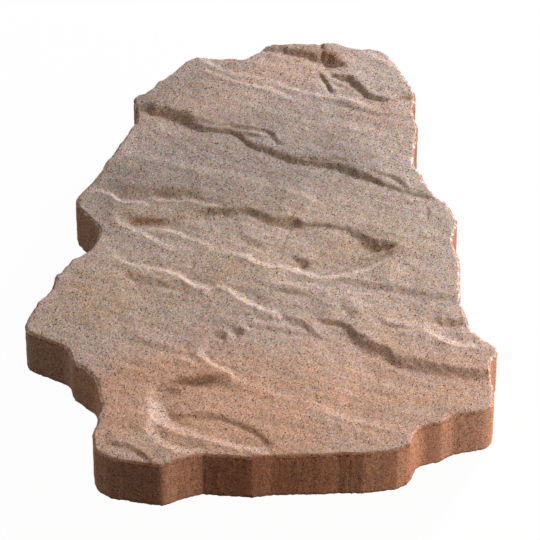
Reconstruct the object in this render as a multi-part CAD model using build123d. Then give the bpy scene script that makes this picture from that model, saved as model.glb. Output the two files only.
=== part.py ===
from build123d import *
import math
import os

# All sizes are in mm. X runs along the slab's length, Y across it, Z up from the bedding face.

# Body
thickness = 60.0          # from the bedding face to the highest part of the walking face
corner_radius = 14.0      # rounding of the upright corners, less where a wall is short
crease_radius = 4.0       # rounding of the sharper creases between the flats of the front wall
arris = 3.0               # width of the bevel round the walking face

# Upright walls, as corner points in plan, going round from the back left corner
back_wall = [
    (-215, -58), (-224, -36), (-233, -27), (-241, -13), (-254, 3), (-255, 20),
    (-244, 58), (-257, 85), (-245, 147), (-234, 168), (-233, 180),
]
right_wall = [
    (-225, 190), (-201, 199), (-166, 206), (-156, 205), (-144, 199), (-121, 199),
    (-79, 184), (-64, 189), (-53, 190), (-32, 196), (-27, 204), (1, 209), (22, 198),
    (47, 200), (95, 189), (130, 190), (152, 206), (164, 209), (173, 198), (209, 194),
]
front_corner = [(223, 190), (228, 181), (228, 151), (234, 138), (234, 117), (252, 107)]
front_wall = [
    (256.5, 93), (255, 62), (250, 40), (248, 23), (240, -18), (239, -37), (226, -80), (228, -102),
]
left_wall = [
    (232, -118), (213, -163), (200, -174), (181, -172), (152, -157), (115, -157), (92, -174),
    (76, -174), (47, -211), (31, -202), (15, -191), (4, -178), (-13, -169), (-20, -160),
    (-30, -149), (-35, -134), (-59, -117), (-99, -138), (-120, -114), (-149, -91),
    (-187, -61), (-199, -57),
]

# Riven walking face. A ledge's path holds its plan points and the depth of the fall at each,
# with the lower ground on the path's right. That ground rises again over the ledge's reach.
fall_run = 1.2            # run of a fall for each mm of its depth
main_ledge = [
    (-218, -90, 4.5), (-202, -46, 5.0), (-172, -4, 5.0), (-157, 21, 4.5), (-137, 43, 5.0),
    (-107, 80, 5.0), (-93, 111, 5.0), (-69, 145, 4.5), (-42, 176, 2.5), (-24, 222, 2.0),
]
back_ledge = [
    (-266, 54, 3.0), (-246, 100, 3.5), (-235, 130, 5.5), (-219, 150, 5.0), (-198, 153, 3.0),
    (-183, 160, 3.0), (-168, 172, 2.0), (-158, 226, 1.6),
]
basin_ledge = [
    (-74, -60, 0.0), (-65, -24, 2.6), (-57, 12, 3.0), (-37, 44, 3.0), (-27, 67, 3.0),
    (-16, 105, 3.0), (0, 124, 4.5), (15, 144, 5.0), (32, 152, 0.0),
]
front_ledge = [
    (88, 58, 0.0), (97, 76, 3.0), (115, 91, 4.0), (139, 114, 5.0), (156, 134, 5.5),
    (166, 166, 6.0), (184, 230, 6.0),
]
right_ledge = [(108, 152, 0.0), (113, 162, 2.6), (117, 186, 2.8), (121, 226, 2.8)]
curl_ledge = [
    (174, -104, 0.0), (180, -72, 1.8), (192, -47, 2.4), (206, -28, 2.4), (222, -15, 2.2),
    (252, -4, 2.0),
]
soft_ridge = [
    (-44, 96, 0.0), (-65, 73, 1.4), (-91, 30, 1.1), (-117, -19, 1.2), (-143, -63, 1.2),
    (-170, -122, 1.0),
]
back_ridge = [
    (-176, 140, 0.0), (-195, 97, 1.2), (-214, 71, 1.2), (-226, 48, 1.6), (-240, 27, 1.6),
    (-266, -2, 1.4),
]
left_ridge = [
    (-58, 4, 0.0), (-68, -16, 2.0), (-81, -39, 1.5), (-86, -60, 1.4), (-92, -93, 2.2),
    (-103, -105, 2.0), (-120, -140, 2.0),
]
hook_ridge = [(-4, -14, 0.0), (-22, -30, 1.6), (-43, -60, 1.8), (-56, -96, 1.6), (-84, -116, 0.0)]
middle_ridge = [
    (82, 26, 0.0), (59, 0, 2.2), (38, -21, 1.8), (25, -49, 2.2), (6, -66, 2.0), (-14, -99, 1.6),
    (-28, -116, 0.0),
]
basin_ridge = [
    (30, 142, 0.0), (38, 122, 1.8), (43, 99, 2.4), (40, 72, 2.4), (30, 54, 2.2), (12, 18, 1.8),
    (-6, -14, 0.0),
]
front_ridge = [
    (228, 92, 0.0), (202, 48, 1.6), (172, 6, 1.1), (149, -27, 1.4), (127, -45, 2.4),
    (101, -55, 1.8), (88, -62, 0.0),
]
swirl_ridge = [
    (243, -6, 0.0), (226, -42, 2.0), (204, -75, 2.2), (189, -99, 2.2), (168, -110, 2.0),
    (146, -107, 0.0),
]
end_ridge = [(224, -78, 0.0), (216, -99, 2.0), (202, -115, 2.2), (182, -117, 1.8), (168, -114, 0.0)]
right_ridge = [
    (162, 226, 2.0), (151, 182, 2.4), (135, 162, 2.4), (117, 148, 1.6), (104, 120, 1.2),
    (96, 102, 0.0),
]
ledges = [
    (main_ledge, 70), (back_ledge, 40), (basin_ledge, 55), (front_ledge, 55), (right_ledge, 22),
    (curl_ledge, 18), (soft_ridge, 45), (back_ridge, 25), (left_ridge, 30), (hook_ridge, 22),
    (middle_ridge, 28), (basin_ridge, 40), (front_ridge, 24), (swirl_ridge, 24), (end_ridge, 16),
    (right_ridge, 25),
]
clearance = 0.4           # how far a ledge's cut starts and ends above the walking face


def corner_radii(points, largest):
    """The radius for each corner, held under what its two walls leave room for."""
    radii = []
    for i, here in enumerate(points):
        before = points[i - 1]
        after = points[(i + 1) % len(points)]
        turn_in = math.atan2(here[1] - before[1], here[0] - before[0])
        turn_out = math.atan2(after[1] - here[1], after[0] - here[0])
        turn = abs(math.remainder(turn_out - turn_in, math.tau))
        room = 0.45 * min(math.dist(before, here), math.dist(here, after))
        radii.append(min(largest[i], room / math.tan(turn / 2)))
    return radii


def blank():
    """The upright body with its rounded corners, bevelled round the top."""
    rounded = back_wall + right_wall + front_corner
    points = rounded + front_wall + left_wall
    largest = [corner_radius] * len(rounded) + [crease_radius] * len(front_wall)
    largest += [corner_radius] * len(left_wall)
    outline = FilletPolyline(*points, radius=corner_radii(points, largest), close=True)
    body = extrude(make_face(outline), thickness, dir=(0, 0, 1))
    rim = body.faces().sort_by(Axis.Z)[-1].edges()
    return chamfer(rim, arris)


def ledge_cut(path, reach):
    """What is missing below the full thickness beside one ledge, as a closed block of flat faces."""
    run = math.dist(path[0][:2], path[-1][:2])
    along = [(b - a) / run for a, b in zip(path[0][:2], path[-1][:2])]
    right = (along[1], -along[0])
    top = thickness + arris

    def lifted(point):
        shift = (top - point[2]) * fall_run
        return (point[0] - right[0] * shift, point[1] - right[1] * shift, top)

    near = [(x, y, thickness - depth if depth else thickness + clearance) for x, y, depth in path]
    far = [(x + right[0] * reach, y + right[1] * reach, thickness + clearance) for x, y, _ in path]
    rim = near + far[::-1]
    faces = [[lifted(point) for point in rim]]
    for i in range(len(path) - 1):
        faces.append([near[i], near[i + 1], far[i]])
        faces.append([near[i + 1], far[i + 1], far[i]])
    for a, b in zip(rim, rim[1:] + rim[:1]):
        faces.append([a, b, lifted(b), lifted(a)])
    return Solid(Shell([Face(Wire.make_polygon(points)) for points in faces]))


def paving_slab():
    """The whole slab: the blank, less the ground beside each ledge."""
    return blank() - [ledge_cut(path, reach) for path, reach in ledges]


slab = paving_slab()
os.makedirs("parts", exist_ok=True)
export_step(slab, "parts/paving_slab.step")
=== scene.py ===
import bpy
import bmesh
import math
import numpy as np
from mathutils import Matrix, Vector, geometry


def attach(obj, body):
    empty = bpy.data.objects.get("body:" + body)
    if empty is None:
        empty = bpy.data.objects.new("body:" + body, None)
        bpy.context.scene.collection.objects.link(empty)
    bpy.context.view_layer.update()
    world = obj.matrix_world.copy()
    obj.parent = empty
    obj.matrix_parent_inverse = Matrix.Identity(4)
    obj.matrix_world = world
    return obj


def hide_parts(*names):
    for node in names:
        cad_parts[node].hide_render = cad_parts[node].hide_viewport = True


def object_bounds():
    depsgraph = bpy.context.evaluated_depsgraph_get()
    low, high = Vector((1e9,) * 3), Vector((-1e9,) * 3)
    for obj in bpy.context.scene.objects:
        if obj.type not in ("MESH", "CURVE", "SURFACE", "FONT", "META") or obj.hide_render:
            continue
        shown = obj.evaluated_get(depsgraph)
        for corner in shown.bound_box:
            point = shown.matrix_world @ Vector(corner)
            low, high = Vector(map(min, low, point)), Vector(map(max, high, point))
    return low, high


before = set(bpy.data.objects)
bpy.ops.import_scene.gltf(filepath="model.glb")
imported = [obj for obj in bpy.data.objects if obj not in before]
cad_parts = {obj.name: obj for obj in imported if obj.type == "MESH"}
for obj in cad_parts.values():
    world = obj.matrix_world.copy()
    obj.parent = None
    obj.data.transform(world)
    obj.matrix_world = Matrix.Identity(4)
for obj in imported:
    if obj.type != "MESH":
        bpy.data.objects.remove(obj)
cadLow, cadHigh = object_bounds()
mm = 0.001
print("frame loaded")

# What the slab is cast to. Lengths in mm, X to the front of the picture, Y to its right.
slab = {
    "pointStep": 1.75,        # spacing of points on the walking face
    "rimStep": 1.3,           # spacing of points round the outline
    "wallRows": 18,
    "rimDrops": (0.4, 0.9, 1.8, 3.2),    # how far the first wall rows lie under the rim
    "headroom": 0.6,          # highest ground lies this much under the full thickness
    "arrisRings": (0.0, 0.8, 1.6, 2.5, 3.7),
    "arrisWidth": 2.6,
    "arrisDepth": 2.1,
    "arrisTeeth": 0.4,        # how jagged the arris is along its lower edge
    "rimGroove": 1.3,         # depth of the groove under the rim
    "rimChips": 1.5,          # how far the rim is broken back along the rough sides
    "footRound": 0.9,         # rounding of the wall's foot
    "reliefScale": 1.12,      # all heights of the riven face times this
    "wander": 1.0,            # how far ledge lines stray from their paths
    "ledgeVary": 0.12,        # how much a ledge's height and width change along it
    "ridgeVary": 0.4,         # the same for a ridge's height
    "slopeRough": 0.55,       # broken ground on the slopes
    "shoulderReach": 4.5,     # how soon a shoulder levels out above the slope
    "swell": 0.8,             # broad unevenness of the face
    "bedding": 0.26,          # streaks along the bedding
    "pitting": 0.07,
    "beddingAngle": 57.0,     # heading of the bedding in plan, degrees from X
}

# Ledges of the riven face fall to the front, ridges to the back. Each path point is
# (x, y, height, width of the slope), with the high ground on the path's left. A ledge's path is the top
# of its slope, a ridge's the middle. easeHigh and easeLow: how soon the ground levels out on either side.
ledges = [
    {"name": "main", "easeHigh": 48, "easeLow": 40, "shoulder": 0.11, "path": [
        (-209, -70, 3.6, 8), (-206.5, -57, 3.8, 8), (-205.5, -44, 4.6, 9.5), (-200.5, -35, 5.2, 11),
        (-192.5, -27, 4, 8), (-184.5, -18, 3.6, 7), (-176.5, -8, 3.4, 6.5), (-169.5, -1, 3.4, 6.5),
        (-163.5, 7, 2.8, 5), (-159.5, 18, 2.8, 5), (-153.5, 29, 2.8, 5), (-148, 36, 2.8, 5),
        (-139.5, 40, 2.8, 5), (-134.5, 45, 3, 5.5), (-128.5, 54, 3.2, 6), (-121, 61, 3.4, 6.5),
        (-115.5, 69, 3.6, 7), (-108.5, 80, 3.2, 6.5), (-100.5, 95, 2.8, 5.5), (-95, 110, 3.4, 7),
        (-90.5, 119, 3.8, 8.5), (-83.5, 129, 4, 8.5), (-77.5, 138, 3.8, 8), (-70, 146, 3, 6),
        (-61.5, 153, 2.2, 4.5), (-52.5, 163, 1.8, 4.5), (-47.5, 170, 1.8, 4.5), (-43.5, 178, 2, 5),
        (-39.5, 187, 2, 4.5), (-34.5, 196, 1.8, 4), (-29, 208, 1.6, 4)]},
    {"name": "mainUpper", "easeHigh": 10, "easeLow": 8, "path": [
        (-203, -32, 0, 5), (-197, -25, 1.4, 6), (-192, -18, 2.2, 7), (-185, -8, 2.5, 8),
        (-178.5, 0, 1.8, 7), (-173.5, 7, 1.1, 4.5), (-167.5, 18, 1, 4.3), (-164, 28, 1.7, 5),
        (-160, 36, 1.6, 4.5), (-155.5, 46, 1.2, 4.3), (-150.5, 58, 1, 4.3), (-142.5, 66, 1.6, 4.3),
        (-132.5, 68, 1.7, 4.3), (-125.5, 73, 0, 4.3)]},
    {"name": "mainBranch", "easeHigh": 7, "easeLow": 6, "path": [
        (-150.5, 36, 0.0, 4), (-147.5, 43, 1.8, 4), (-144.5, 50, 1.4, 4), (-143.5, 56, 0.0, 4)]},
    {"name": "mainSkin", "easeHigh": 8, "easeLow": 6, "path": [
        (-113.5, 80, 0.0, 4.5), (-104.5, 98, 1.3, 4.5), (-99.5, 120, 1.0, 4.5), (-93.5, 130, 0.0, 4.5)]},
    {"name": "mainFork", "easeHigh": 9, "easeLow": 7, "path": [
        (-77.5, 143, 0.0, 4), (-74.5, 150, 1.2, 4), (-71.5, 158, 1.3, 4), (-64.5, 167, 1.6, 4.5),
        (-55.5, 171, 1.6, 4.5), (-48.5, 174, 0.0, 4.5)]},
    {"name": "back", "easeHigh": 22, "easeLow": 26, "shoulder": 0.1, "path": [
        (-256, 70, 1.8, 4), (-254.5, 79, 2.6, 5), (-252.5, 92, 3, 6), (-247.5, 102, 3.2, 6.5),
        (-243, 110.5, 3.2, 6.5), (-238.5, 119, 3.2, 7), (-236.5, 126, 4.2, 9.5), (-238.5, 132, 6, 13),
        (-235, 137, 6.2, 13.5), (-232, 141, 5.8, 12.5), (-226, 145.5, 4.8, 11), (-219, 150, 2.6, 6),
        (-214, 154, 0, 4)]},
    {"name": "backNotch", "easeHigh": 6, "easeLow": 4, "path": [
        (-254, 136, 2.6, 5), (-247, 136.5, 3.2, 5.5), (-241.5, 137, 3.4, 5.5), (-236, 136.5, 3, 5),
        (-231, 135, 0, 5)]},
    {"name": "backStep", "easeHigh": 12, "easeLow": 12, "path": [
        (-213, 136, 0, 4), (-206, 139, 2.2, 5), (-204.5, 146.5, 2.8, 5.5), (-200.5, 152.5, 3, 5.5),
        (-194, 156, 3, 5.5), (-185.5, 159, 2.8, 5.5), (-178, 163, 2.6, 5), (-171, 167.5, 2.4, 5),
        (-167, 174.5, 2, 4.5), (-164.5, 183.5, 1.6, 4), (-164.5, 191.5, 1.6, 4), (-163, 202.5, 2.4, 4.5),
        (-162, 212, 2.4, 4.5)]},
    {"name": "backCrack", "easeHigh": 5, "easeLow": 4, "path": [
        (-213.5, 126, 0.0, 3.6), (-208.5, 127, 2.0, 3.6), (-201.5, 129, 2.2, 3.6),
        (-193.5, 131, 2.2, 3.6), (-187.5, 132, 1.8, 3.6), (-183.5, 132, 0.0, 3.6)]},
    {"name": "backBranch", "easeHigh": 5, "easeLow": 4, "path": [
        (-203.5, 130, 0.0, 3.4), (-198.5, 135, 1.2, 3.4), (-192.5, 142, 0.8, 3.4),
        (-185.5, 150, 0.0, 3.4)]},
    {"name": "lineRight", "easeHigh": 10, "easeLow": 10, "path": [
        (-175.5, 125, 0.0, 5), (-168.5, 138, 1.3, 5), (-161.5, 149, 1.2, 5), (-154.5, 159, 1.2, 5),
        (-146.5, 174, 1.0, 5), (-139.5, 192, 0.7, 5), (-135.5, 208, 0.5, 5)]},
    {"name": "leftFall", "easeHigh": 18, "easeLow": 12, "path": [
        (-111.5, -92, 0.0, 16.1), (-107.5, -80, 1.8, 16.1), (-103.5, -62, 2.5, 16.1),
        (-99.5, -45, 2.5, 16.1), (-93.5, -30, 2.2, 16.1), (-85.5, -14, 1.8, 14.9), (-77.5, -2, 0.0, 13.8)]},
    {"name": "basinRim", "easeHigh": 26, "easeLow": 30, "bow": -0.4, "shoulder": 0.1, "path": [
        (-56, -44, 0, 6), (-59, -34, 1.6, 6.5), (-62, -24, 3.4, 10), (-62, -14, 3.2, 8), (-60, -3, 3.4, 8),
        (-58, 7, 3.4, 8), (-56, 17, 3.4, 8), (-54, 24, 3.2, 8), (-49, 31, 3.2, 9), (-43, 38, 3.4, 10),
        (-38, 46, 3.6, 10), (-36, 55, 5.6, 12), (-34, 62, 5.6, 12), (-28, 68, 2.8, 7), (-25, 81, 2.2, 5),
        (-20, 94, 1.9, 5), (-15, 107, 1.6, 5), (-10, 115, 1.2, 6), (-5, 120, 0, 6)]},
    {"name": "basinEnd", "easeHigh": 24, "easeLow": 26, "bow": -0.5, "path": [
        (-11.5, 112.5, 0, 6), (-6.5, 117, 1.2, 7), (-1.5, 121.5, 2.1, 10), (3.5, 126, 2.9, 13),
        (7, 131, 3.4, 15), (11, 137, 3.8, 16), (14, 143, 4, 16), (17.5, 147, 4, 15),
        (22, 146.5, 3.4, 12), (27.5, 142, 2.4, 8), (31.5, 136, 0, 6)]},
    {"name": "rustStep", "easeHigh": 10, "easeLow": 10, "path": [
        (-68, -100, 0.0, 8), (-67, -92, 0.9, 8), (-66, -82, 1.8, 8), (-63, -72, 2.0, 8),
        (-61, -62, 1.8, 8), (-61, -50, 1.4, 7), (-61, -40, 0.8, 7), (-61, -30, 0.0, 7)]},
    {"name": "basinDip", "easeHigh": 8, "easeLow": 8, "path": [
        (-25.5, 8, 0.0, 8), (-20.5, 17, 1.0, 8), (-13.5, 26, 1.3, 8), (-7.5, 34, 0.0, 8)]},
    {"name": "basinBlob", "easeHigh": 7, "easeLow": 6, "path": [
        (12.5, 49, 0, 8), (12.5, 56, 3, 9), (13.5, 60.5, 3.2, 9), (15.5, 65, 2.6, 9),
        (19.5, 69, 0, 8)]},
    {"name": "lowStreak", "easeHigh": 9, "easeLow": 8, "path": [
        (42.5, 20, 0.0, 7), (46.5, 32, 1.2, 7), (49.5, 42, 1.4, 7), (53.5, 52, 1.0, 7),
        (58.5, 62, 0.0, 7)]},
    {"name": "front", "easeHigh": 30, "easeLow": 34, "bow": -0.1, "path": [
        (86, 54, 0, 4), (90, 61.5, 1.8, 4.5), (93.5, 68.5, 2, 5), (97.5, 76, 2, 5),
        (103, 83, 2.2, 6), (110, 87, 2.8, 9), (116, 91.5, 3.6, 11.5), (123, 97.5, 4, 12.5),
        (129, 103.5, 4.2, 12.5), (134.5, 110, 4, 12), (138.5, 113.5, 3.8, 11), (143, 114.5, 3.6, 11),
        (147.5, 116.5, 3.8, 12), (150, 121.5, 3.8, 13), (153.5, 130, 3.8, 13.5), (158, 138, 3.8, 14),
        (163, 148, 3.8, 14), (168, 158, 3.8, 14), (173.5, 170, 3.6, 13.5), (178.5, 182, 3.4, 12),
        (183.5, 194, 3.2, 10.5), (187, 208, 3, 9)]},
    {"name": "rightStep", "easeHigh": 12, "easeLow": 11, "path": [
        (110.5, 160, 0, 7.5), (112.5, 166, 2.5, 7.5), (113.5, 173, 2.8, 7.5), (116.5, 184, 2.8, 8.1),
        (118.5, 195, 2.8, 8.1), (119.5, 205, 2.8, 8.1)]},
    {"name": "ridgeFoot", "easeHigh": 8, "easeLow": 9, "path": [
        (99.5, 110, 0.0, 6.5), (103.5, 117, 1.4, 7), (109.5, 130, 1.4, 7), (115.5, 146, 0.9, 6.5),
        (120.5, 155, 0.0, 6)]},
    {"name": "streakRight", "easeHigh": 12, "easeLow": 12, "path": [
        (42.5, 84, 0.0, 8), (47.5, 92, 1.2, 8), (54.5, 108, 1.3, 8), (60.5, 122, 1.2, 8),
        (65.5, 138, 1.2, 8), (73.5, 152, 1.2, 8), (82.5, 170, 1.1, 8), (90.5, 195, 0.9, 8)]},
    {"name": "midStreak", "easeHigh": 9, "easeLow": 9, "path": [
        (76, 82, 0.0, 8), (82, 88, 1.0, 9), (90, 94, 1.2, 9), (97, 100, 0.0, 8)]},
    {"name": "redStreak", "easeHigh": 9, "easeLow": 9, "path": [
        (135, -92, 0, 9), (132, -86, 0.8, 9), (133, -78, 1.2, 10), (137, -66, 1.5, 10), (139, -54, 1.5, 10),
        (141, -42, 1, 9), (145, -33, 0, 8)]},
    {"name": "redLow", "easeHigh": 6, "easeLow": 6, "path": [
        (143, -98, 0, 6), (144, -91, 0.7, 7), (145, -83, 0.7, 7), (147, -77, 0, 6)]},
    {"name": "frontShade", "easeHigh": 9, "easeLow": 9, "path": [
        (72, -116, 0.0, 9), (78, -104, 0.9, 9), (85, -94, 1.0, 9), (92, -84, 0.9, 9), (98, -78, 0.0, 9)]},
    {"name": "frontCurl", "easeHigh": 12, "easeLow": 10, "path": [
        (171, -99, 0.0, 8), (172, -92, 1.2, 9), (173, -84, 1.4, 8.5), (175, -70, 1.5, 8),
        (180, -57, 1.6, 8), (188.5, -45, 1.5, 7.5), (199, -32, 1.4, 7), (208, -24, 1.2, 6.5),
        (216, -18, 1.0, 6), (224, -16, 0.8, 5), (234, -17, 0.6, 5)]},
    {"name": "cornerChip", "easeHigh": 9, "easeLow": 8, "path": [
        (191, -162, 0, 5), (194, -152, 0.9, 5), (198, -143, 1.3, 5), (204, -136, 1.3, 5),
        (212.5, -131, 1.3, 5), (224, -124, 1.1, 5)]},
    {"name": "spotA", "easeHigh": 7, "easeLow": 5, "path": [
        (84, -42, 0.0, 8), (86, -36, 2.0, 9), (88, -30, 2.4, 9), (93, -27, 2.2, 9), (99, -26, 0.0, 8)]},
    {"name": "spotB", "easeHigh": 7, "easeLow": 5, "path": [
        (84, -25, 0.0, 8), (86, -19, 3.0, 9), (87, -13, 3.2, 9), (91, -10, 3.0, 9), (97, -9, 0.0, 8)]},
    {"name": "spotC", "easeHigh": 8, "easeLow": 6, "path": [
        (71.6, 0, 0.0, 7), (72.6, 7, 2.2, 8), (73.6, 14, 2.4, 8), (76.6, 20, 1.7, 8), (80.6, 23, 0.0, 7)]},
    {"name": "seamA", "easeHigh": 9, "easeLow": 9, "path": [
        (77.5, -10, 0.0, 6), (81.5, -3, 1.5, 7), (85.5, 6, 1.5, 6.5), (91.5, 17, 1.2, 6),
        (96.5, 29, 1.1, 6), (101.5, 44, 0.9, 6), (107.5, 57, 0.7, 6), (113.5, 68, 0.0, 6)]},
    {"name": "seamB", "easeHigh": 10, "easeLow": 8, "path": [
        (77, 26, 0.0, 6), (81, 31, 1.6, 7.5), (87, 39, 2.0, 8), (95, 47, 1.9, 8), (103, 53, 1.3, 7),
        (110, 58, 0.0, 6)]},
    {"name": "leftShade", "easeHigh": 9, "easeLow": 14, "path": [
        (-4, -106, 0.0, 9), (-1, -100, 1.4, 9), (8, -84, 1.7, 9), (15, -71, 1.6, 9), (22, -60, 1.0, 9),
        (29, -48, 0.4, 9), (34, -38, 0.0, 9)]},
    {"name": "headShade", "easeHigh": 14, "easeLow": 12, "path": [
        (-84, -118, 0.0, 11), (-78, -104, 0.9, 11), (-75, -88, 0.9, 11), (-72, -70, 0.7, 11),
        (-72, -54, 0.0, 11)]},
    {"name": "chipA", "easeHigh": 4, "easeLow": 4, "path": [
        (-35, 163, 0.0, 3.5), (-34, 168, 1.4, 4), (-32, 172, 1.2, 3.5), (-30, 175, 0.0, 3.5)]},
    {"name": "chipB", "easeHigh": 4, "easeLow": 4, "path": [
        (-24, 190, 0.0, 3), (-18, 188, 1.4, 3.5), (-13, 186, 1.4, 3), (-9, 185, 0.0, 3)]},
]
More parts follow.
